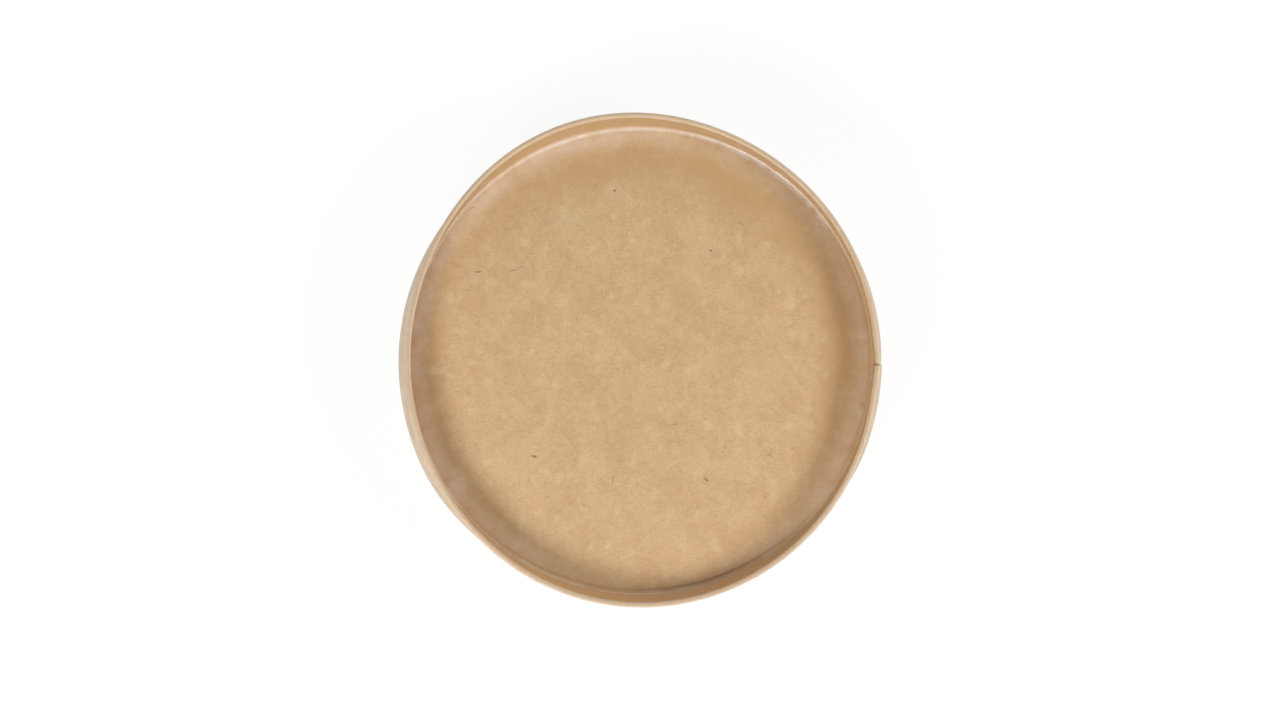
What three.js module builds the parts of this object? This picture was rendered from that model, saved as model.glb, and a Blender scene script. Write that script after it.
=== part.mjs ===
// Paperboard cup lid, top side up, standing on the lower edge of its side band.
// Two sealed pieces: a disc with an upturned flange, and a strip wrapped round it
// whose upper edge is folded inwards and down over that flange.
// Millimetres, +Z up, origin at the middle of the lid on the surface it stands on.

import * as THREE from 'three';
import { toCreasedNormals } from 'three/addons/utils/BufferGeometryUtils.js';

const degrees = THREE.MathUtils.degToRad;

// Paperboard, and the coating that seals one ply to the next
const board = 0.33;
const glueLine = 0.03;

// Heights
const lidHeight = 14;
const recessDepth = 5.5;

// Top panel: flat disc, bend at its border, and the draft of the upright wall
const flatRadius = 43.2;
const bendRadius = 1.05;
const wallDraft = degrees(6.25);

// Side band: outer radius of its foot, the soft bend below the flange, and how
// far the cut edge of the hem stays above the bend of the top panel
const footRadius = 45.65;
const waistDrop = 3;
const hemEdgeLift = 0.15;

// Side seam: the angle of the outer cut edge, the width of the lap, each ply's
// thickness where the lap is pressed, the run over which the outer ply climbs
// onto the inner one, and the run over which the inner ply regains its thickness
const seamEdge = degrees(359);
const lapWidth = 6;
const lapPly = 0.2;
const climbWidth = 8;
const reliefWidth = 1.5;

// Out of round from handling. Each wave has a number of crests round the lid,
// a size, and the angle of a crest. The rim has several and the foot has one.
const rimWaves = [
  { crests: 1, size: 0.37, peak: degrees(10) },
  { crests: 2, size: 1.09, peak: degrees(96) },
  { crests: 3, size: 0.17, peak: degrees(0) },
  { crests: 4, size: 0.11, peak: degrees(22) },
  { crests: 5, size: 0.07, peak: degrees(34) },
];
const footWave = { crests: 2, size: 0.45, peak: degrees(5) };

// The stiff seam holds the rim out in a slight corner
const cornerSize = 0.33;
const cornerSpread = degrees(7);

// Fineness of the facets
const ringSteps = 117;
const lapSteps = 3;
const bendSteps = 4;
const skirtSteps = 3;
const waistSteps = 3;
const crestSteps = 6;

// Levels, directions and radii that the two pieces share, in a section where
// x is the distance from the lid's axis and y is the height
const plyPitch = board + glueLine;
const discTop = lidHeight - recessDepth;
const wallUp = new THREE.Vector2(Math.sin(wallDraft), Math.cos(wallDraft));
const wallOut = new THREE.Vector2(Math.cos(wallDraft), -Math.sin(wallDraft));
const bendCentre = new THREE.Vector2(flatRadius, discTop + bendRadius);
const flangeFoot = along(bendCentre, wallOut, bendRadius + board / 2);
const crestLevel = lidHeight - plyPitch - board / 2;
const flangeLength = (crestLevel - flangeFoot.y) / wallUp.y;
const crestCentre = along(flangeFoot, wallUp, flangeLength);
const bandSeat = along(flangeFoot, wallOut, plyPitch);

// Angles shared by the two pieces, so that their facets lie side by side. The
// lap has steps of its own, and the round closes where the lap starts.
const fullTurn = 2 * Math.PI;
const lapAngle = lapWidth / footRadius;
const lapStart = seamEdge - lapAngle;
const lapTurn = Array.from({ length: lapSteps }, (_, step) => lapStart + (lapAngle * step) / lapSteps);
const restTurn = Array.from(
  { length: ringSteps },
  (_, step) => seamEdge + ((fullTurn - lapAngle) * step) / ringSteps,
);
const round = [...lapTurn, ...restTurn];

function along(start, direction, distance) {
  return start.clone().addScaledVector(direction, distance);
}

// Samples along the middle of a bent board: each has a point and the normal
// that points out of the lid. A stretch is a curve and its number of steps.
function sampleBoard(stretches) {
  const samples = [];
  stretches.forEach(({ curve, steps }, index) => {
    for (let step = index === 0 ? 0 : 1; step <= steps; step += 1) {
      const tangent = curve.getTangent(step / steps);
      const normal = new THREE.Vector2(tangent.y, -tangent.x);
      samples.push({ point: curve.getPoint(step / steps), normal });
    }
  });
  return samples;
}

// Closed outline of the board: its outer face one way and its inner face back,
// each at its own distance from the middle
function boardOutline(samples, faces) {
  const outer = samples.map(({ point, normal }) => along(point, normal, faces.outer));
  const inner = samples.map(({ point, normal }) => along(point, normal, faces.inner));
  return [...outer, ...inner.reverse()];
}

function waveAt({ crests, size, peak }, angle) {
  return size * Math.cos(crests * (angle - peak));
}

// How far the wall leans out for each millimetre above the disc, which holds it
// round at its own level
function wallLean(angle) {
  const fromSeam = Math.abs(Math.atan2(Math.sin(angle - seamEdge), Math.cos(angle - seamEdge)));
  const corner = cornerSize * Math.max(0, 1 - fromSeam / cornerSpread);
  return rimWaves.reduce((sum, wave) => sum + waveAt(wave, angle), corner) / recessDepth;
}

function panelOutOfRound(height, angle) {
  return Math.max(0, height - discTop) * wallLean(angle);
}

// The side band follows the panel's wall down to the foot of the flange. Below
// it a smooth curve leaves with the wall's lean and ends in the wave of the foot.
function bandOutOfRound(height, angle) {
  if (height >= bandSeat.y) {
    return panelOutOfRound(height, angle);
  }
  const up = height / bandSeat.y;
  const atFoot = waveAt(footWave, angle);
  const rise = panelOutOfRound(bandSeat.y, angle) - atFoot;
  const turn = wallLean(angle) * bandSeat.y - rise;
  return atFoot + rise * up + turn * (up ** 3 - up ** 2);
}

// A section point at an angle round the lid. What lies on the axis stays there.
function placeRound(point, angle, outOfRound) {
  const radius = point.x > 0 ? point.x + outOfRound(point.y, angle) : 0;
  return new THREE.Vector3(radius * Math.cos(angle), radius * Math.sin(angle), point.y);
}

// Skin through one outline after another, where a closed round joins the last
// outline to the first. Each four-sided facet is split from its lower corner here
// to its upper corner next, so that plies sealed together are split alike.
function skin(outlines, closed) {
  const count = outlines[0].length;
  const points = outlines.flat();
  const triangles = [];
  const addTriangle = (a, b, c) => {
    const flat = [[a, b], [b, c], [c, a]].some(([p, q]) => points[p].equals(points[q]));
    if (!flat) {
      triangles.push(a, b, c);
    }
  };
  const spans = closed ? outlines.length : outlines.length - 1;
  for (let span = 0; span < spans; span += 1) {
    const here = span * count;
    const next = ((span + 1) % outlines.length) * count;
    for (let side = 0; side < count; side += 1) {
      const after = (side + 1) % count;
      const rises = points[here + after].z >= points[here + side].z;
      if (rises) {
        addTriangle(here + side, next + side, next + after);
        addTriangle(here + side, next + after, here + after);
      } else {
        addTriangle(here + side, next + side, here + after);
        addTriangle(next + side, next + after, here + after);
      }
    }
  }
  return { points, triangles, count };
}

function toGeometry({ points, triangles }) {
  const geometry = new THREE.BufferGeometry();
  geometry.setFromPoints(points);
  geometry.setIndex(triangles);
  return toCreasedNormals(geometry, degrees(30));
}

// Top panel: flat disc, tight bend and upright flange, one pressed blank
function makeTopPanel() {
  const discEdge = new THREE.Vector2(flatRadius, discTop - board / 2);
  const samples = sampleBoard([
    { curve: new THREE.LineCurve(new THREE.Vector2(0, discEdge.y), discEdge), steps: 1 },
    {
      curve: new THREE.ArcCurve(
        bendCentre.x,
        bendCentre.y,
        bendRadius + board / 2,
        -Math.PI / 2,
        -wallDraft,
        false,
      ),
      steps: bendSteps,
    },
    { curve: new THREE.LineCurve(flangeFoot, crestCentre), steps: 1 },
  ]);
  const outline = boardOutline(samples, { outer: board / 2, inner: -board / 2 });
  const outlines = round.map((angle) =>
    outline.map((point) => placeRound(point, angle, panelOutOfRound)),
  );
  return toGeometry(skin(outlines, true));
}

// Faces of the side band at an angle along the strip, which runs from the start
// of the lap once round and over its own beginning. The pressed lap thins both
// plies, and the outer one climbs onto the inner one before it.
function bandFaces(angle) {
  const pastLap = (angle - seamEdge) * footRadius;
  const beforeLap = (lapStart + fullTurn - angle) * footRadius;
  const under = 1 - THREE.MathUtils.smoothstep(pastLap, 0, reliefWidth);
  const over = 1 - THREE.MathUtils.smoothstep(beforeLap, 0, climbWidth);
  return {
    outer: board / 2 - under * (board - lapPly) + over * (2 * lapPly + glueLine - board),
    inner: -board / 2 + over * (lapPly + glueLine),
  };
}

// Side band: skirt, fold over the flange and hem inside it, one wrapped strip
function makeSideBand() {
  const waist = along(bandSeat, wallUp, -waistDrop / 2);
  const foot = new THREE.Vector2(footRadius - board / 2, 0);
  const belowWaist = along(waist, foot.clone().sub(waist).normalize(), waistDrop / 2);
  const crestStart = along(crestCentre, wallOut, plyPitch);
  const crestEnd = along(crestCentre, wallOut, -plyPitch);
  const hemEdge = along(crestEnd, wallUp, hemEdgeLift - flangeLength);
  const samples = sampleBoard([
    { curve: new THREE.LineCurve(foot, belowWaist), steps: skirtSteps },
    { curve: new THREE.QuadraticBezierCurve(belowWaist, waist, bandSeat), steps: waistSteps },
    { curve: new THREE.LineCurve(bandSeat, crestStart), steps: 1 },
    {
      curve: new THREE.ArcCurve(
        crestCentre.x,
        crestCentre.y,
        plyPitch,
        -wallDraft,
        Math.PI - wallDraft,
        false,
      ),
      steps: crestSteps,
    },
    { curve: new THREE.LineCurve(crestEnd, hemEdge), steps: 1 },
  ]);
  // The foot is cut level, so the lid stands on all of its edge
  samples[0].normal.set(1, 0);

  const strip = [...round, ...round.slice(0, lapSteps + 1).map((angle) => angle + fullTurn)];
  const sections = strip.map((angle) => boardOutline(samples, bandFaces(angle)));
  const outlines = sections.map((section, index) =>
    section.map((point) => placeRound(point, strip[index], bandOutOfRound)),
  );
  const { points, triangles, count } = skin(outlines, false);
  const lastStart = points.length - count;
  THREE.ShapeUtils.triangulateShape(sections[0], []).forEach(([a, b, c]) => {
    triangles.push(a, b, c);
  });
  THREE.ShapeUtils.triangulateShape(sections[sections.length - 1], []).forEach(([a, b, c]) => {
    triangles.push(lastStart + a, lastStart + c, lastStart + b);
  });
  return toGeometry({ points, triangles });
}

const topPanel = new THREE.Mesh(
  makeTopPanel(),
  new THREE.MeshStandardMaterial({ color: 0xcda97f, roughness: 0.45, metalness: 0 }),
);
topPanel.name = 'top_panel';

const sideBand = new THREE.Mesh(
  makeSideBand(),
  new THREE.MeshStandardMaterial({ color: 0xd4b894, roughness: 0.5, metalness: 0 }),
);
sideBand.name = 'side_band';

const group = new THREE.Group();
group.name = 'cup_lid';
group.add(topPanel, sideBand);

export default group;
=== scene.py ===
import math
import bmesh
import bpy
import numpy as np
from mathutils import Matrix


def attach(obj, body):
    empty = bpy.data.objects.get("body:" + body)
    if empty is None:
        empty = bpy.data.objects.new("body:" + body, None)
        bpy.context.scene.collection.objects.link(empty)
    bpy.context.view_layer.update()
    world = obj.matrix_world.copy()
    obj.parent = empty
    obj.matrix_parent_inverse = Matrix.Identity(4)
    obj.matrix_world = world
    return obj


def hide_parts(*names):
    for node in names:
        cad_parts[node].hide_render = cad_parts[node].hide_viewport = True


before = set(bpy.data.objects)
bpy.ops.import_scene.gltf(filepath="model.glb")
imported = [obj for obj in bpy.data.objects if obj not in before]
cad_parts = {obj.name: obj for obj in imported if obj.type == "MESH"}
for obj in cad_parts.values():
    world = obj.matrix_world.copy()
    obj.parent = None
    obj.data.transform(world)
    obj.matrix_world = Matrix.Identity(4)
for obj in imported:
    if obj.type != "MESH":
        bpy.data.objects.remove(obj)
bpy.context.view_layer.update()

# Top panel
# A disc of coated kraft cup board, about a third of a millimetre thick. Its border is pressed up
# through a tight bend into an upright flange, which the side band grips from both sides.
mm = 0.001
board = 0.33 * mm
glue_line = 0.03 * mm
ply_pitch = board + glue_line
lid_height = 14.0 * mm
recess_depth = 5.5 * mm
disc_top = lid_height - recess_depth
flat_radius = 43.2 * mm
bend_radius = 1.05 * mm
wall_draft = math.radians(6.25)
cut_corner = 0.07 * mm
corner_steps = 5
face_offset = 0.02

wall_up = np.array([math.sin(wall_draft), math.cos(wall_draft)])
wall_out = np.array([math.cos(wall_draft), -math.sin(wall_draft)])
bend_centre = np.array([flat_radius, disc_top + bend_radius])
flange_foot = bend_centre + wall_out * (bend_radius + board / 2)
crest_level = lid_height - ply_pitch - board / 2
flange_length = (crest_level - flange_foot[1]) / wall_up[1]
crest_centre = flange_foot + wall_up * flange_length

seam_edge = math.radians(359.0)
corner_size = 0.33 * mm
corner_spread = math.radians(7.0)
# Crests round the lid, size, and the angle of one crest
rim_waves = (
    (1, 0.37 * mm, math.radians(10.0)),
    (2, 1.09 * mm, math.radians(96.0)),
    (3, 0.17 * mm, math.radians(0.0)),
    (4, 0.11 * mm, math.radians(22.0)),
    (5, 0.07 * mm, math.radians(34.0)),
)


def straight(start, end, steps):
    """Points of a straight stretch of board, from start to end, with the normal on its right."""
    share = np.linspace(0.0, 1.0, steps + 1)[:, None]
    points = start + (end - start) * share
    run = (end - start) / np.linalg.norm(end - start)
    normals = np.tile([run[1], -run[0]], (steps + 1, 1))
    return points, normals


def bent(centre, radius, first, last, steps):
    """Points of a bent stretch: centre plus radius times (cosine, sine) of an angle that grows."""
    turn = np.linspace(first, last, steps + 1)
    normals = np.stack([np.cos(turn), np.sin(turn)], axis=1)
    return centre + radius * normals, normals


def half_outline(stretches, cut_start, cut_end):
    """One face of a board as rows of base point, normal, side and overhang.

    The stretches follow one another along the middle of the board. Side is 1 on the face and
    falls towards a cut end, where it and the overhang follow a quarter circle of cut_corner.
    """
    points = np.concatenate([stretches[0][0]] + [stretch[0][1:] for stretch in stretches[1:]])
    normals = np.concatenate([stretches[0][1]] + [stretch[1][1:] for stretch in stretches[1:]])
    side = np.ones(len(points))
    overhang = np.zeros(len(points))
    quarter = np.linspace(0.0, math.pi / 2, corner_steps)
    drop = 1.0 - (cut_corner / (board / 2)) * (1.0 - np.cos(quarter))
    reach = cut_corner * (np.sin(quarter) - 1.0)
    if cut_end:
        points = np.concatenate([points[:-1], np.repeat(points[-1:], corner_steps, axis=0)])
        normals = np.concatenate([normals[:-1], np.repeat(normals[-1:], corner_steps, axis=0)])
        side = np.concatenate([side[:-1], drop])
        overhang = np.concatenate([overhang[:-1], reach])
    if cut_start:
        points = np.concatenate([np.repeat(points[:1], corner_steps, axis=0), points[1:]])
        normals = np.concatenate([np.repeat(normals[:1], corner_steps, axis=0), normals[1:]])
        side = np.concatenate([drop[::-1], side[1:]])
        overhang = np.concatenate([-reach[::-1], overhang[1:]])
    return points, normals, side, overhang


def board_grid(half, inner, outer):
    """Radius and height of both faces on a grid of angle and place in the section.

    Each point is its base point plus the normal times a share of the way between the inner and
    the outer face, plus the overhang along the board. The second face runs back along the first.
    """
    points, normals, side, overhang = half
    runs = np.stack([-normals[:, 1], normals[:, 0]], axis=1)
    base = np.concatenate([points + runs * overhang[:, None]] * 2)
    base[len(points):] = base[len(points):][::-1]
    normal = np.concatenate([normals, normals[::-1]])
    share = np.concatenate([side, -side[::-1]])
    middle = ((inner + outer) / 2)[:, None]
    depth = ((outer - inner) / 2)[:, None]
    offset = middle + depth * share[None, :]
    radius = base[None, :, 0] + normal[None, :, 0] * offset
    height = base[None, :, 1] + normal[None, :, 1] * offset
    return radius, height


def wall_lean(angles):
    """Lean of the wall for each metre above the disc: the sum of the rim's waves and a corner
    at the seam that falls off in a straight line, divided by the depth of the recess."""
    from_seam = np.abs(np.angle(np.exp(1j * (angles - seam_edge))))
    lean = corner_size * np.maximum(0.0, 1.0 - from_seam / corner_spread)
    for crests, size, peak in rim_waves:
        lean = lean + size * np.cos(crests * (angles - peak))
    return lean / recess_depth


weld_distance = 1e-8


def skin(name, grid, closed, blank, cut):
    """Mesh through a grid of points, whose second direction is the section. A closed first
    direction goes once round a section that starts and ends on the axis. An open one carries a
    section that closes on itself, and its ends are capped by joining each point to its mirror. Each
    point carries its place on the flat blank, and how far it belongs to a cut edge."""
    rows, columns = grid.shape[:2]
    row = np.arange(rows if closed else rows - 1)[:, None]
    column = np.arange(columns - 1 if closed else columns)[None, :]
    after_row = (row + 1) % rows
    after_column = (column + 1) % columns
    corners = (
        row * columns + column,
        after_row * columns + column,
        after_row * columns + after_column,
        row * columns + after_column,
    )
    faces = np.stack(corners, axis=-1).reshape(-1, 4)
    if not closed:
        near = np.arange(columns // 2 - 1)
        far = columns - 1 - near
        start = np.stack([near, near + 1, far - 1, far], axis=1)
        end = start[:, ::-1] + (rows - 1) * columns
        faces = np.concatenate([faces, start, end])
    mesh = bpy.data.meshes.new(name)
    mesh.from_pydata(grid.reshape(-1, 3), [], faces)
    labels = (("blank", "FLOAT_VECTOR", "vector", blank), ("cut", "FLOAT", "value", cut))
    for label, kind, field, values in labels:
        layer = mesh.attributes.new(label, kind, "POINT")
        layer.data.foreach_set(field, values.astype(np.float32).ravel())
    work = bmesh.new()
    work.from_mesh(mesh)
    bmesh.ops.remove_doubles(work, verts=work.verts, dist=weld_distance)
    work.to_mesh(mesh)
    work.free()
    mesh.shade_smooth()
    piece = bpy.data.objects.new(name, mesh)
    bpy.context.scene.collection.objects.link(piece)
    return piece


def arc_lengths(points):
    """Distance along a run of points, from its first one."""
    steps = np.linalg.norm(np.diff(points, axis=0), axis=1)
    return np.concatenate([[0.0], np.cumsum(steps)])


def board_labels(side, run, shape):
    """Labels on a grid of that shape, on the outer face and back along the inner one: the distance
    along the board, face_offset on the outer face only, and 1 on a rounded cut edge."""
    rounded = side < 1.0
    labels = (
        np.concatenate([run, run[::-1]]),
        np.repeat([face_offset, 0.0], len(run)),
        np.concatenate([rounded, rounded[::-1]]),
    )
    return [label[None, :] * np.ones(shape) for label in labels]


dish_width = 3.9 * mm
dish_rise = 0.1 * mm
groove_depth = 0.012 * mm
groove_width = 0.2 * mm
cockle_fade = 6.0 * mm
# Height, length, heading and phase of each wave across the disc
cockles = (
    (0.035 * mm, 31.0 * mm, math.radians(20.0), 0.4),
    (0.028 * mm, 22.0 * mm, math.radians(75.0), 2.1),
    (0.022 * mm, 15.0 * mm, math.radians(130.0), 4.0),
    (0.012 * mm, 9.0 * mm, math.radians(160.0), 1.2),
)
wrinkle_angle = math.radians(55.0)
wrinkle_spread = math.radians(0.7)
wrinkle_size = 0.16 * mm
crumple_angle = math.radians(50.0)
panel_turn_steps = 540
axis_run = 1.0 * mm
plain_radius = 36.0 * mm
border_run = 1.2 * mm


def disc_relief(radius, angles):
    """Height added to the flat disc: cockles as waves across it, a border that rises with the
    square of the way to the bend, and a fine groove where the bend starts."""
    across = radius * np.cos(angles)
    up = radius * np.sin(angles)
    relief = np.zeros_like(radius)
    for size, length, heading, phase in cockles:
        way = across * math.cos(heading) + up * math.sin(heading)
        relief = relief + size * np.sin(2 * math.pi * way / length + phase)
    relief = relief * np.clip((flat_radius - radius) / cockle_fade, 0.0, 1.0)
    border = np.clip((radius - flat_radius + dish_width) / dish_width, 0.0, 1.0)
    fade = np.clip((flat_radius + bend_radius - radius) / bend_radius, 0.0, 1.0)
    groove = groove_depth * np.exp(-(((radius - flat_radius) / groove_width) ** 2))
    return relief + dish_rise * border**2 * fade - groove


def make_top_panel():
    """Top panel: a flat run from the axis, an arc up into the wall and a straight flange, carried
    round the axis. Its height gets the relief of the disc and its wall leans with the rim. At
    wrinkle_angle the bend is drawn in, most of all at half its height."""
    angles = seam_edge + np.linspace(0.0, 2 * math.pi, panel_turn_steps, endpoint=False)
    middle = disc_top - board / 2
    near_axis = np.array([axis_run, middle])
    plain_end = np.array([plain_radius, middle])
    flat_end = np.array([flat_radius - border_run, middle])
    half = half_outline(
        [
            straight(np.array([0.0, middle]), near_axis, 5),
            straight(near_axis, plain_end, 28),
            straight(plain_end, flat_end, 12),
            straight(flat_end, np.array([flat_radius, middle]), 16),
            bent(bend_centre, bend_radius + board / 2, -math.pi / 2, -wall_draft, 16),
            straight(flange_foot, crest_centre, 6),
        ],
        cut_start=False,
        cut_end=True,
    )
    faces = np.full(len(angles), board / 2)
    radius, height = board_grid(half, -faces, faces)
    around = angles[:, None] * np.ones_like(radius)
    height = height + disc_relief(radius, around)
    above = np.maximum(0.0, height - disc_top)
    from_wrinkle = np.angle(np.exp(1j * (around - wrinkle_angle)))
    wrinkle = np.exp(-((from_wrinkle / wrinkle_spread) ** 2))
    tight = np.exp(-((above / (0.5 * bend_radius) - 1.0) ** 2))
    leaning = radius + above * wall_lean(around) - wrinkle_size * wrinkle * tight * (above > 0)
    grid = np.stack([leaning * np.cos(around), leaning * np.sin(around), height], axis=-1)
    run, face, cut = board_labels(half[2], arc_lengths(half[0]), radius.shape)
    blank = np.stack([run * np.cos(around), run * np.sin(around), face], axis=-1)
    return skin("top_panel_board", grid, True, blank, cut)


def add_node(tree, kind, inputs, **settings):
    """Adds a node with its settings, and sets or links its inputs from a table."""
    node = tree.nodes.new(kind)
    for key, value in settings.items():
        setattr(node, key, value)
    for key, value in inputs.items():
        if isinstance(value, bpy.types.NodeSocket):
            tree.links.new(value, node.inputs[key])
        else:
            node.inputs[key].default_value = value
    return node


def noise(tree, place, scale, detail, distortion=0.0):
    """Value of a smooth random field, whose lumps are one over scale metres wide."""
    inputs = {"Vector": place, "Scale": scale, "Detail": detail, "Distortion": distortion}
    return add_node(tree, "ShaderNodeTexNoise", inputs).outputs["Fac"]


def between(tree, value, low, high, to_low=0.0, to_high=1.0):
    """Value carried smoothly from the range low to high into the range to_low to to_high."""
    inputs = {"Value": value, 1: low, 2: high, 3: to_low, 4: to_high}
    node = add_node(tree, "ShaderNodeMapRange", inputs, interpolation_type="SMOOTHSTEP")
    return node.outputs["Result"]


def maths(tree, operation, first, second=0.0):
    """One sum, product or other operation on two numbers."""
    return add_node(tree, "ShaderNodeMath", {0: first, 1: second}, operation=operation).outputs[0]


def product(tree, *factors):
    """Product of two or more numbers."""
    result = factors[0]
    for factor in factors[1:]:
        result = maths(tree, "MULTIPLY", result, factor)
    return result


def blend_colour(tree, share, first, second, blend_type="MIX"):
    """First colour where share is 0 and second colour where it is 1."""
    inputs = {0: share, 6: first, 7: second}
    node = add_node(tree, "ShaderNodeMix", inputs, data_type="RGBA", blend_type=blend_type)
    return node.outputs[2]


def way_towards(tree, place, across, up):
    """Way along a heading: the sum of the place's X and Y, times the heading's own."""
    return maths(tree, "ADD", product(tree, place["X"], across), product(tree, place["Y"], up))


def start_paper(name):
    """New paper: its material, the place on the flat blank, and the share of cut edge."""
    material = bpy.data.materials.new(name)
    material.use_nodes = True
    tree = material.node_tree
    place = add_node(tree, "ShaderNodeAttribute", {}, attribute_name="blank").outputs["Vector"]
    cut = add_node(tree, "ShaderNodeAttribute", {}, attribute_name="cut").outputs["Fac"]
    return material, place, cut


warm_pulp = (0.62, 0.37, 0.2, 1.0)
pale_pulp = (0.72, 0.53, 0.3, 1.0)
fibre_brown = (0.3, 0.17, 0.08, 1.0)
hair_brown = (0.22, 0.12, 0.055, 1.0)
fibre_stretch = (0.16, 1.0, 1.0)
# Turn and shift of each direction of straight fibres
fibre_directions = ((0.35, 0.0), (1.45, 0.3), (2.45, 0.6))


def kraft_colour(tree, place, dark, light):
    """Kraft pulp: two tones mixed by clouds several millimetres wide and by mottle about one
    millimetre wide. Straight fibres are lumps drawn out long in three directions, and curled
    ones are short stretches of the contour lines of a smooth field."""
    clouds = product(tree, noise(tree, place, 130.0, 3.0, 0.4), 0.55)
    mottle = product(tree, noise(tree, place, 620.0, 4.0, 0.6), 0.45)
    tone = maths(tree, "ADD", clouds, mottle)
    colour = blend_colour(tree, between(tree, tone, 0.35, 0.65), dark, light)
    speckle = between(tree, noise(tree, place, 2300.0, 2.0, 0.4), 0.3, 0.7, 0.93, 1.06)
    colour = blend_colour(tree, 1.0, colour, speckle, "MULTIPLY")
    warmth = between(tree, noise(tree, place, 340.0, 3.0, 0.5), 0.42, 0.7, 0.0, 0.28)
    colour = blend_colour(tree, warmth, colour, warm_pulp)
    fibres = None
    for turn, shift in fibre_directions:
        inputs = {
            "Vector": place,
            "Location": (shift, shift, 0.0),
            "Rotation": (0.0, 0.0, turn),
            "Scale": fibre_stretch,
        }
        drawn = add_node(tree, "ShaderNodeMapping", inputs).outputs["Vector"]
        strand = between(tree, noise(tree, drawn, 4200.0, 2.0, 0.3), 0.58, 0.72)
        fibres = strand if fibres is None else maths(tree, "ADD", fibres, strand)
    pale = between(tree, noise(tree, place, 300.0, 2.0, 0.15), 0.56, 0.76, 0.0, 0.42)
    colour = blend_colour(tree, pale, colour, pale_pulp)
    colour = blend_colour(tree, product(tree, fibres, 0.16), colour, fibre_brown)
    field = noise(tree, place, 300.0, 1.0, 1.4)
    contour = maths(tree, "ABSOLUTE", maths(tree, "SUBTRACT", field, 0.5))
    stretches = between(tree, noise(tree, place, 540.0, 0.0), 0.58, 0.68)
    hairs = product(tree, between(tree, contour, 0.0, 0.01, 0.42, 0.0), stretches)
    colour = blend_colour(tree, hairs, colour, hair_brown)
    return colour, fibres, tone


def finish_paper(tree, place, colour, rough, fibres):
    """Links colour and roughness to the shader, and a fine relief of the paper: a grain finer than
    half a millimetre, and the straight fibres. Hands back the shader."""
    shader = tree.nodes["Principled BSDF"]
    tree.links.new(colour, shader.inputs["Base Color"])
    tree.links.new(rough, shader.inputs["Roughness"])
    shader.inputs["IOR"].default_value = 1.5
    grain = product(tree, noise(tree, place, 2600.0, 3.0, 0.5), 0.6)
    relief = maths(tree, "ADD", grain, product(tree, fibres, 0.4))
    inputs = {"Strength": 0.35, "Distance": 0.03 * mm, "Height": relief}
    bump = add_node(tree, "ShaderNodeBump", inputs)
    tree.links.new(bump.outputs["Normal"], shader.inputs["Normal"])
    return shader


def panel_flecks(tree, place):
    """Dark flecks and stray fibres: an ellipse each, whose mask falls from 1 in its middle to 0
    at its border, with the place stretched so that the border is where the length is 1. They
    reach no deeper than fleck_depth, so the underside has none."""
    total = None
    for x, y, heading, long_side, short_side, strength in flecks:
        inputs = {
            "Vector": place,
            "Location": (x, y, 0.0),
            "Rotation": (0.0, 0.0, math.radians(heading)),
            "Scale": (long_side / 2, short_side / 2, fleck_depth),
        }
        local = add_node(tree, "ShaderNodeMapping", inputs, vector_type="TEXTURE").outputs["Vector"]
        span = add_node(tree, "ShaderNodeVectorMath", {0: local}, operation="LENGTH").outputs["Value"]
        mask = between(tree, span, 0.35, 1.0, strength, 0.0)
        total = mask if total is None else maths(tree, "MAXIMUM", total, mask)
    return total


fleck_depth = 1.0 * mm
# Place across and up, heading in degrees, length, width and strength of each fleck
flecks = (
    (-4.8 * mm, 32.0 * mm, 20.0, 0.68 * mm, 0.55 * mm, 0.95),
    (13.4 * mm, 20.7 * mm, 0.0, 0.62 * mm, 0.5 * mm, 0.85),
    (-19.9 * mm, -18.1 * mm, -10.0, 1.3 * mm, 0.65 * mm, 0.75),
    (12.5 * mm, -22.5 * mm, -40.0, 1.6 * mm, 0.6 * mm, 0.6),
    (-30.5 * mm, 16.7 * mm, 5.0, 2.1 * mm, 0.36 * mm, 0.65),
    (-23.9 * mm, 17.0 * mm, 6.0, 2.8 * mm, 0.26 * mm, 0.55),
    (-22.6 * mm, 17.5 * mm, 14.0, 1.9 * mm, 0.24 * mm, 0.5),
    (19.1 * mm, 25.9 * mm, -52.0, 2.2 * mm, 0.24 * mm, 0.5),
    (20.0 * mm, 24.4 * mm, -72.0, 1.4 * mm, 0.24 * mm, 0.45),
    (-5.2 * mm, -22.6 * mm, 84.0, 2.4 * mm, 0.26 * mm, 0.5),
    (24.4 * mm, -17.7 * mm, 35.0, 2.1 * mm, 0.24 * mm, 0.5),
    (24.6 * mm, -17.9 * mm, -30.0, 1.8 * mm, 0.24 * mm, 0.45),
    (-31.6 * mm, 28.8 * mm, 15.0, 1.3 * mm, 0.4 * mm, 0.45),
    (-7.2 * mm, 13.0 * mm, 70.0, 0.6 * mm, 0.4 * mm, 0.4),
)


panel_dark = (0.535, 0.34, 0.172, 1.0)
panel_light = (0.61, 0.415, 0.225, 1.0)
warm_tone_and_painted_shade = (0.52, 0.305, 0.13, 1.0)
painted_shade_ring = (0.475, 0.255, 0.1, 1.0)
milky_coat_and_sheen = (0.93, 0.83, 0.74, 1.0)
painted_bend_shade_brown = (0.46, 0.26, 0.11, 1.0)
scuffed_coat = (0.58, 0.47, 0.38, 1.0)
painted_highlight_white = (0.95, 0.92, 0.9, 1.0)
painted_highlight_pale = (0.74, 0.63, 0.56, 1.0)
painted_crease_shadow_brown = (0.25, 0.14, 0.07, 1.0)
fleck_brown = (0.14, 0.055, 0.025, 1.0)
panel_cut_brown = (0.42, 0.26, 0.13, 1.0)


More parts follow.
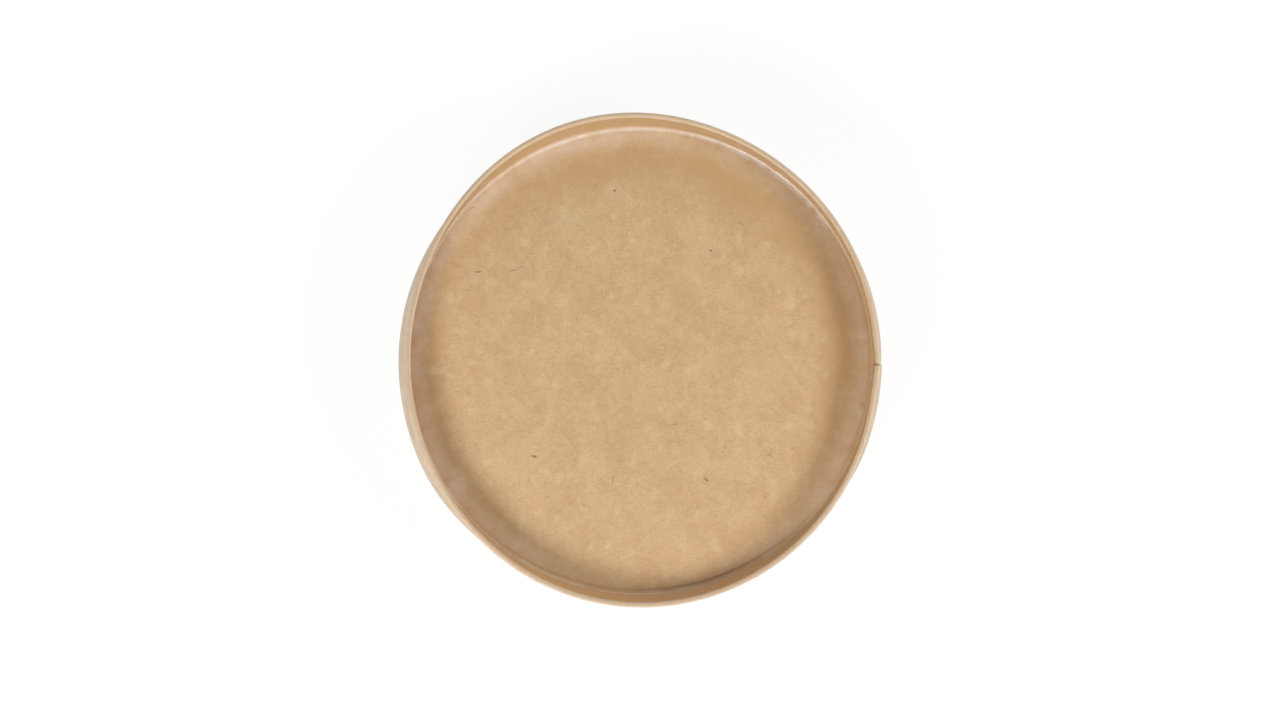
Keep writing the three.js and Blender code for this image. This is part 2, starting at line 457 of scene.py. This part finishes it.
def top_panel_paper():
    """Coated kraft board of the top panel. The coating is clear over the middle and glossy on the
    bend.
    A darker, warmer ring inside the border is partly the board's own tone and partly painted shade,
    and painted shade lies in blotches by the rim, on the bend and in its crease. Next to the bend the
    coating is partly milky where it was stretched and partly painted sheen. A painted highlight runs
    along the bend at the back, pale and broken about crumple_angle, where the bend has its wrinkle."""
    material, place, cut = start_paper("kraft_top_panel")
    tree = material.node_tree
    colour, fibres, tone = kraft_colour(tree, place, panel_dark, panel_light)

    flat = add_node(tree, "ShaderNodeVectorMath", {0: place, 1: (1.0, 1.0, 0.0)}, operation="MULTIPLY")
    from_axis = add_node(tree, "ShaderNodeVectorMath", {0: flat.outputs[0]}, operation="LENGTH")
    radius = from_axis.outputs["Value"]
    heading = add_node(tree, "ShaderNodeVectorMath", {0: flat.outputs[0]}, operation="NORMALIZE")
    turned = add_node(tree, "ShaderNodeSeparateXYZ", {"Vector": heading.outputs[0]}).outputs
    across = add_node(tree, "ShaderNodeSeparateXYZ", {"Vector": place}).outputs

    wide = product(tree, noise(tree, place, 70.0, 1.0), 7.0 * mm)
    fine = product(tree, noise(tree, place, 260.0, 3.0), 4.0 * mm)
    unevenness = maths(tree, "SUBTRACT", maths(tree, "ADD", wide, fine), 5.5 * mm)
    reach = maths(tree, "ADD", radius, unevenness)
    # Darker, warmer ring inside the border, mostly right and back: partly the board's tone, partly
    # painted shade.
    towards = way_towards(tree, across, 0.8, 0.6)
    warm_and_painted_shade = product(
        tree,
        between(tree, reach, 30.0 * mm, 38.5 * mm, 0.0, 0.7),
        between(tree, towards, -22.0 * mm, 22.0 * mm, 0.1, 1.0),
        between(tree, reach, 38.4 * mm, 41.0 * mm, 1.0, 0.35),
        between(tree, noise(tree, place, 95.0, 3.0, 0.5), 0.35, 0.6, 0.6, 1.1),
        between(tree, across["Y"], -28.0 * mm, -8.0 * mm, 0.3, 1.0),
    )
    colour = blend_colour(tree, warm_and_painted_shade, colour, warm_tone_and_painted_shade)
    # Painted shade: brown blotches where the rim's shadow falls on the border, least at the back.
    blotches = between(tree, noise(tree, place, 210.0, 3.0, 0.8), 0.36, 0.64, 0.1, 0.48)
    painted_shade_blotches = product(
        tree,
        between(tree, reach, 35.6 * mm, 39.4 * mm),
        between(tree, turned["Y"], 0.2, 0.8, 1.0, 0.15),
        between(tree, turned["Y"], -0.95, -0.7, 0.35, 1.0),
        blotches,
    )
    colour = blend_colour(tree, painted_shade_blotches, colour, painted_shade_ring)

    # Paler, greyer ring next to the bend: partly milky stretched coating, partly painted sheen.
    off_front = between(tree, across["Y"], -40.0 * mm, -33.0 * mm)
    milky_and_painted_sheen = product(
        tree,
        between(tree, radius, 39.3 * mm, 42.6 * mm, 0.0, 0.15),
        between(tree, noise(tree, place, 150.0, 4.0, 0.6), 0.35, 0.65, 0.45, 1.35),
        between(tree, turned["X"], -0.6, 0.6, 1.45, 0.75),
        off_front,
    )
    colour = blend_colour(tree, milky_and_painted_sheen, colour, milky_coat_and_sheen)

    # Painted shade on the bend: dark brown at the right side and the front, half strength round its
    # upper part.
    on_sides = between(tree, turned["X"], 0.75, 0.96, 0.0, 0.6)
    at_front = between(tree, turned["Y"], -0.8, -0.5, 0.75, 0.0)
    painted_bend_shade = product(
        tree,
        between(tree, radius, 42.9 * mm, 43.5 * mm),
        maths(tree, "MAXIMUM", on_sides, at_front),
    )
    painted_bend_shade = maths(tree, "MAXIMUM", painted_bend_shade, between(tree, radius, 43.7 * mm, 44.2 * mm, 0.0, 0.5))
    colour = blend_colour(tree, painted_bend_shade, colour, painted_bend_shade_brown)
    scuffed = product(
        tree,
        between(tree, noise(tree, place, 300.0, 4.0, 0.6), 0.42, 0.64, 0.0, 0.36),
        between(tree, radius, 43.1 * mm, 43.5 * mm),
        at_front,
    )
    colour = blend_colour(tree, scuffed, colour, scuffed_coat)
    streaks = between(tree, noise(tree, heading.outputs[0], 26.0, 5.0), 0.38, 0.62, 0.55, 1.25)
    # Painted highlight: near-white streaks along the bend at the back, where the front lamps glint.
    painted_highlight = product(
        tree,
        between(tree, radius, 43.1 * mm, 43.4 * mm),
        between(tree, radius, 43.8 * mm, 44.2 * mm, 1.0, 0.0),
        between(tree, turned["Y"], 0.6, 0.95, 0.0, 0.2),
        streaks,
    )
    colour = blend_colour(tree, painted_highlight, colour, painted_highlight_white)

    # Painted highlight: pale broken patch on the bend about crumple_angle, by the wrinkle.
    at_wrinkle = way_towards(tree, turned, math.cos(crumple_angle), math.sin(crumple_angle))
    painted_wrinkle_highlight = product(
        tree,
        between(tree, radius, 42.8 * mm, 43.05 * mm),
        between(tree, radius, 43.5 * mm, 43.9 * mm, 1.0, 0.0),
        between(tree, at_wrinkle, 0.93, 0.985, 0.0, 0.6),
        between(tree, noise(tree, place, 600.0, 3.0, 0.5), 0.36, 0.56),
    )
    colour = blend_colour(tree, painted_wrinkle_highlight, colour, painted_highlight_pale)

    # Painted shadow: thin dark line in the crease where the bend starts, at the front right.
    from_crease = maths(tree, "ABSOLUTE", maths(tree, "SUBTRACT", radius, flat_radius))
    painted_crease_shadow = product(
        tree,
        between(tree, from_crease, 0.05 * mm, 0.3 * mm, 0.6, 0.0),
        between(tree, turned["X"], -0.1, 0.2, 0.2, 1.0),
        maths(tree, "SUBTRACT", 1.0, off_front),
    )
    colour = blend_colour(tree, painted_crease_shadow, colour, painted_crease_shadow_brown)
    dots = panel_flecks(tree, place)
    colour = blend_colour(tree, dots, colour, fleck_brown)
    colour = blend_colour(tree, product(tree, cut, 0.5), colour, panel_cut_brown)
    rough = between(tree, tone, 0.3, 0.7, 0.46, 0.36)
    shader = finish_paper(tree, place, colour, rough, fibres)

    polish = product(
        tree,
        between(tree, radius, 42.9 * mm, 43.4 * mm, 0.3, 1.0),
        between(tree, turned["Y"], 0.65, 1.0, 0.22, 0.85),
        between(tree, turned["X"], 0.75, 0.96, 1.0, 0.15),
        streaks,
    )
    tree.links.new(polish, shader.inputs["Coat Weight"])
    coat_rough = between(tree, radius, 42.9 * mm, 43.4 * mm, 0.34, 0.27)
    tree.links.new(coat_rough, shader.inputs["Coat Roughness"])
    return material


top_panel = make_top_panel()
top_panel.data.materials.append(top_panel_paper())
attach(top_panel, "root")
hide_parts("top_panel")

# Side band
# One strip of the same board, wrapped once round the flange and sealed to itself in a lap. Its
# upper part is folded over the flange and pressed down inside it, so the rim is three plies thick.
foot_radius = 45.65 * mm
waist_drop = 3.0 * mm
hem_edge_lift = 0.15 * mm
facet_gap = 0.02 * mm
foot_wave = (2, 0.45 * mm, math.radians(5.0))
# Size, angle of the middle, and spread
foot_bulges = (
    (0.42 * mm, math.radians(213.0), math.radians(17.0)),
    (0.42 * mm, math.radians(334.0), math.radians(12.0)),
)
lap_width = 6.0 * mm
lap_ply = 0.2 * mm
climb_width = 8.0 * mm
relief_width = 1.5 * mm
band_seat = flange_foot + wall_out * ply_pitch
lap_angle = lap_width / foot_radius
lap_start = seam_edge - lap_angle
# Stretch along the strip, at the front, where the hem is painted paler as if lit.
lit_hem_start = math.radians(585.0) * foot_radius
lit_hem_end = math.radians(680.0) * foot_radius
lit_hem_fade = 30.0 * mm
lap_steps = 15
band_turn_steps = 559
near_seam = np.array([0.0, 0.15, 0.3, 0.5, 0.8, 1.2, 1.6, 2.1]) * mm
end_cut = np.array([0.05, 0.02, 0.0]) * mm
end_rounding = np.array([0.0, 0.02, 0.05]) * mm
stain_reach = 0.2 * mm
stain_above = 1.8
stain_below = 0.5


def soft_bend(start, control, end, steps):
    """Points of a soft bend between two straight stretches: a parabola that starts towards the
    control point and ends coming from it."""
    share = np.linspace(0.0, 1.0, steps + 1)[:, None]
    points = start * (1 - share) ** 2 + control * 2 * share * (1 - share) + end * share**2
    run = (control - start) * (1 - share) + (end - control) * share
    run = run / np.linalg.norm(run, axis=1, keepdims=True)
    return points, np.stack([run[:, 1], -run[:, 0]], axis=1)


def smooth(value, low, high):
    """0 below low, 1 above high, and a smooth step between them."""
    share = np.clip((value - low) / (high - low), 0.0, 1.0)
    return share * share * (3.0 - 2.0 * share)


def band_out_of_round(height, angles):
    """How far the band stands out of round. Above its seat it leans with the wall. Below, a cubic
    leaves with that lean and ends at the foot in the foot's own wave and two bell-shaped bulges."""
    lean = wall_lean(angles)
    crests, size, peak = foot_wave
    at_foot = size * np.cos(crests * (angles - peak))
    for bulge, centre, spread in foot_bulges:
        away = np.angle(np.exp(1j * (angles - centre)))
        at_foot = at_foot + bulge * np.exp(-((away / spread) ** 2))
    up = np.clip(height / band_seat[1], 0.0, 1.0)
    rise = lean * (band_seat[1] - disc_top) - at_foot
    turn = lean * band_seat[1] - rise
    below = at_foot + rise * up + turn * (up**3 - up**2)
    return np.where(height >= band_seat[1], lean * (height - disc_top), below)


def make_side_band():
    """Side band: foot, skirt, waist, outer wall, crest and hem as one bent board, carried along
    an angle that runs once round and over its own start. In the lap both plies are pressed. The
    outer face keeps facet_gap inside, where the flat facets of the solid run. The cut end of the
    strip is stained darker from the crest inwards than on the outside."""
    lap = lap_start + np.linspace(0.0, lap_angle, lap_steps + 1)[:-1]
    rest = seam_edge + np.linspace(0.0, 2 * math.pi - lap_angle, band_turn_steps + 1)[:-1]
    near = seam_edge + near_seam / foot_radius
    round_once = np.unique(np.concatenate([lap, rest, near]))
    end = seam_edge + 2 * math.pi - end_cut / foot_radius
    angles = np.concatenate([round_once, lap + 2 * math.pi, end])

    waist = band_seat - wall_up * waist_drop / 2
    foot = np.array([foot_radius - board / 2, 0.0])
    below = waist + (foot - waist) / np.linalg.norm(foot - waist) * waist_drop / 2
    crest_start = crest_centre + wall_out * ply_pitch
    crest_end = crest_centre - wall_out * ply_pitch
    hem_edge = crest_end - wall_up * (flange_length - hem_edge_lift)
    half = half_outline(
        [
            straight(foot, below, 14),
            soft_bend(below, waist, band_seat, 8),
            straight(band_seat, crest_start, 8),
            bent(crest_centre, ply_pitch, -wall_draft, math.pi - wall_draft, 20),
            straight(crest_end, hem_edge, 10),
        ],
        cut_start=True,
        cut_end=True,
    )
    half[1][:corner_steps] = [1.0, 0.0]
    past_lap = (angles - seam_edge) * foot_radius
    before_lap = (lap_start + 2 * math.pi - angles) * foot_radius
    under = 1.0 - smooth(past_lap, 0.0, relief_width)
    over = 1.0 - smooth(before_lap, 0.0, climb_width)
    outer = board / 2 - under * (board - lap_ply) + over * (2 * lap_ply + glue_line - board)
    inner = -board / 2 + over * (lap_ply + glue_line)
    outer = outer - facet_gap
    outer[-len(end):] -= end_rounding
    radius, height = board_grid(half, inner, outer)
    height = np.maximum(height, 0.0)
    around = angles[:, None] * np.ones_like(radius)
    leaning = radius + band_out_of_round(height, around)
    grid = np.stack([leaning * np.cos(around), leaning * np.sin(around), height], axis=-1)
    run = arc_lengths(half[0])
    crest = half[0][:, 1].argmax()
    run, face, cut = board_labels(half[2], run - run[crest], radius.shape)
    blank = np.stack([around * foot_radius, run, face], axis=-1)
    cut[-len(end):] = np.where(run[-len(end):] > -stain_reach, stain_above, stain_below)
    return skin("side_band_board", grid, False, blank, cut)


band_dark = (0.5, 0.36, 0.22, 1.0)
band_light = (0.6, 0.45, 0.29, 1.0)
hem_brown = (0.465, 0.283, 0.13, 1.0)
painted_lit_hem = (0.57, 0.335, 0.155, 1.0)
crazed_coat_and_sheen = (0.7, 0.53, 0.37, 1.0)
band_cut_brown = (0.45, 0.28, 0.14, 1.0)


def side_band_paper():
    """Coated kraft board of the side band. The crest is pale, partly from crazed coating and partly
    from painted sheen, and a fine brown line runs along it. The hem inside it is brown, with painted
    light making it paler at the front over a stretch along the strip, and the skirt outside is greyer."""
    material, place, cut = start_paper("kraft_side_band")
    tree = material.node_tree
    colour, fibres, tone = kraft_colour(tree, place, band_dark, band_light)
    along, from_crest, _ = add_node(tree, "ShaderNodeSeparateXYZ", {"Vector": place}).outputs
    unevenness = maths(tree, "SUBTRACT", noise(tree, place, 900.0, 3.0), 0.5)
    ragged = maths(tree, "ADD", from_crest, product(tree, unevenness, 0.5 * mm))
    hem = between(tree, ragged, 0.3 * mm, 0.65 * mm, 0.0, 0.85)
    # Painted light: the hem is paler at the front, where the back lamp lights it.
    rising = between(tree, along, lit_hem_start, lit_hem_start + lit_hem_fade)
    falling = between(tree, along, lit_hem_end - lit_hem_fade, lit_hem_end, 1.0, 0.0)
    painted_hem_light = product(tree, rising, falling)
    hem_colour = blend_colour(tree, painted_hem_light, hem_brown, painted_lit_hem)
    colour = blend_colour(tree, hem, colour, hem_colour)
    # Pale over the crest: partly crazed coating, partly painted sheen.
    crazed_and_painted_sheen = between(tree, maths(tree, "ABSOLUTE", ragged), 0.42 * mm, 0.68 * mm, 0.48, 0.0)
    colour = blend_colour(tree, crazed_and_painted_sheen, colour, crazed_coat_and_sheen)
    off_crest = maths(tree, "ABSOLUTE", from_crest)
    brown_line = between(tree, off_crest, 0.03 * mm, 0.12 * mm, 0.35, 0.0)
    colour = blend_colour(tree, brown_line, colour, band_cut_brown)
    colour = blend_colour(tree, product(tree, cut, 0.5), colour, band_cut_brown)
    rough = between(tree, tone, 0.3, 0.7, 0.5, 0.4)
    finish_paper(tree, place, colour, rough, fibres)
    return material


side_band = make_side_band()
side_band.data.materials.append(side_band_paper())
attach(side_band, "root")
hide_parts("side_band")

# Table top and surroundings
# A plain white surface under the lid and plain white air round it. Both look white to the eye and
# in reflections, and the surface keeps a faint shadow.
floor_size = 3.0
floor_white = (0.9, 0.9, 0.9, 1.0)
seen_white = (1.0, 1.0, 1.0, 1.0)
floor_glow = 1.03
ambient_level = 0.14
shadow_share = 0.12


def seen_directly(tree):
    """1 for the camera's own rays, for reflections and for transmission, and 0 for all others."""
    path = add_node(tree, "ShaderNodeLightPath", {}).outputs
    shine = maths(tree, "MAXIMUM", path["Is Glossy Ray"], path["Is Transmission Ray"])
    return maths(tree, "MAXIMUM", path["Is Camera Ray"], shine)


def make_floor():
    """Floor: one square at the height the lid stands on."""
    mesh = bpy.data.meshes.new("floor")
    half_size = floor_size / 2
    ends = ((-1, -1), (1, -1), (1, 1), (-1, 1))
    mesh.from_pydata([(x * half_size, y * half_size, 0.0) for x, y in ends], [], [(0, 1, 2, 3)])
    material = bpy.data.materials.new("white_floor")
    material.use_nodes = True
    tree = material.node_tree
    tree.nodes.clear()
    matt = add_node(tree, "ShaderNodeBsdfDiffuse", {"Color": floor_white}).outputs[0]
    inputs = {"Color": seen_white, "Strength": floor_glow}
    glow = add_node(tree, "ShaderNodeEmission", inputs).outputs[0]
    share = product(tree, seen_directly(tree), 1.0 - shadow_share)
    mix = add_node(tree, "ShaderNodeMixShader", {0: share, 1: matt, 2: glow}).outputs[0]
    add_node(tree, "ShaderNodeOutputMaterial", {"Surface": mix})
    mesh.materials.append(material)
    floor = bpy.data.objects.new("floor", mesh)
    bpy.context.scene.collection.objects.link(floor)
    return floor


make_floor()
world = bpy.data.worlds.new("white_surroundings")
bpy.context.scene.world = world
world.use_nodes = True
air = world.node_tree
air.nodes.clear()
strength = maths(air, "MAXIMUM", seen_directly(air), ambient_level)
glow = add_node(air, "ShaderNodeBackground", {"Color": seen_white, "Strength": strength}).outputs[0]
add_node(air, "ShaderNodeOutputWorld", {"Surface": glow})


# Lamps
# Soft boxes on stands, low enough that the rim throws a soft shadow on the border of the disc
# next to each: one at the front left, one at the right and a long weak one at the back. A narrow
# strip at the front draws the highlight along the bend.
def soft_box(name, azimuth, elevation, distance, width, height, level):
    """Area lamp aimed at the lid. Its power is level times the square of pi and of the distance
    over the sine of the elevation, which lights a level white surface to that level."""
    lamp = bpy.data.lights.new(name, "AREA")
    lamp.shape = "RECTANGLE"
    lamp.size = width
    lamp.size_y = height
    around, up = math.radians(azimuth), math.radians(elevation)
    lamp.energy = level * math.pi**2 * distance**2 / math.sin(up)
    holder = bpy.data.objects.new(name, lamp)
    flat = distance * math.cos(up)
    lift = disc_top + distance * math.sin(up)
    holder.location = (flat * math.cos(around), flat * math.sin(around), lift)
    holder.rotation_euler = (math.pi / 2 - up, 0.0, around + math.pi / 2)
    bpy.context.scene.collection.objects.link(holder)


# Name, azimuth and elevation in degrees, distance, width, height and level of each lamp
lamps = (
    ("front_left_box", 229.0, 35.5, 0.55, 0.32, 0.16, 0.455),
    ("right_box", 351.0, 32.0, 0.55, 0.3, 0.14, 0.33),
    ("back_box", 88.0, 17.0, 0.6, 0.7, 0.2, 0.1),
    ("front_strip", 280.0, 55.0, 0.55, 0.5, 0.05, 0.07),
)
for lamp_values in lamps:
    soft_box(*lamp_values)

# Camera
# Straight above the lid, a hair behind its middle, with the side seam at the right of the picture.
camera_distance = 700 * mm
camera_back = 0.08 * mm
view_width_at_rim = 239.5 * mm
sensor_width = 36.0
camera_data = bpy.data.cameras.new("camera")
camera_data.sensor_width = sensor_width
camera_data.lens = sensor_width * camera_distance / view_width_at_rim
camera = bpy.data.objects.new("camera", camera_data)
camera.location = (0.0, camera_back, lid_height + camera_distance)
bpy.context.scene.collection.objects.link(camera)
bpy.context.scene.camera = camera
bpy.context.scene.view_settings.view_transform = "Standard"
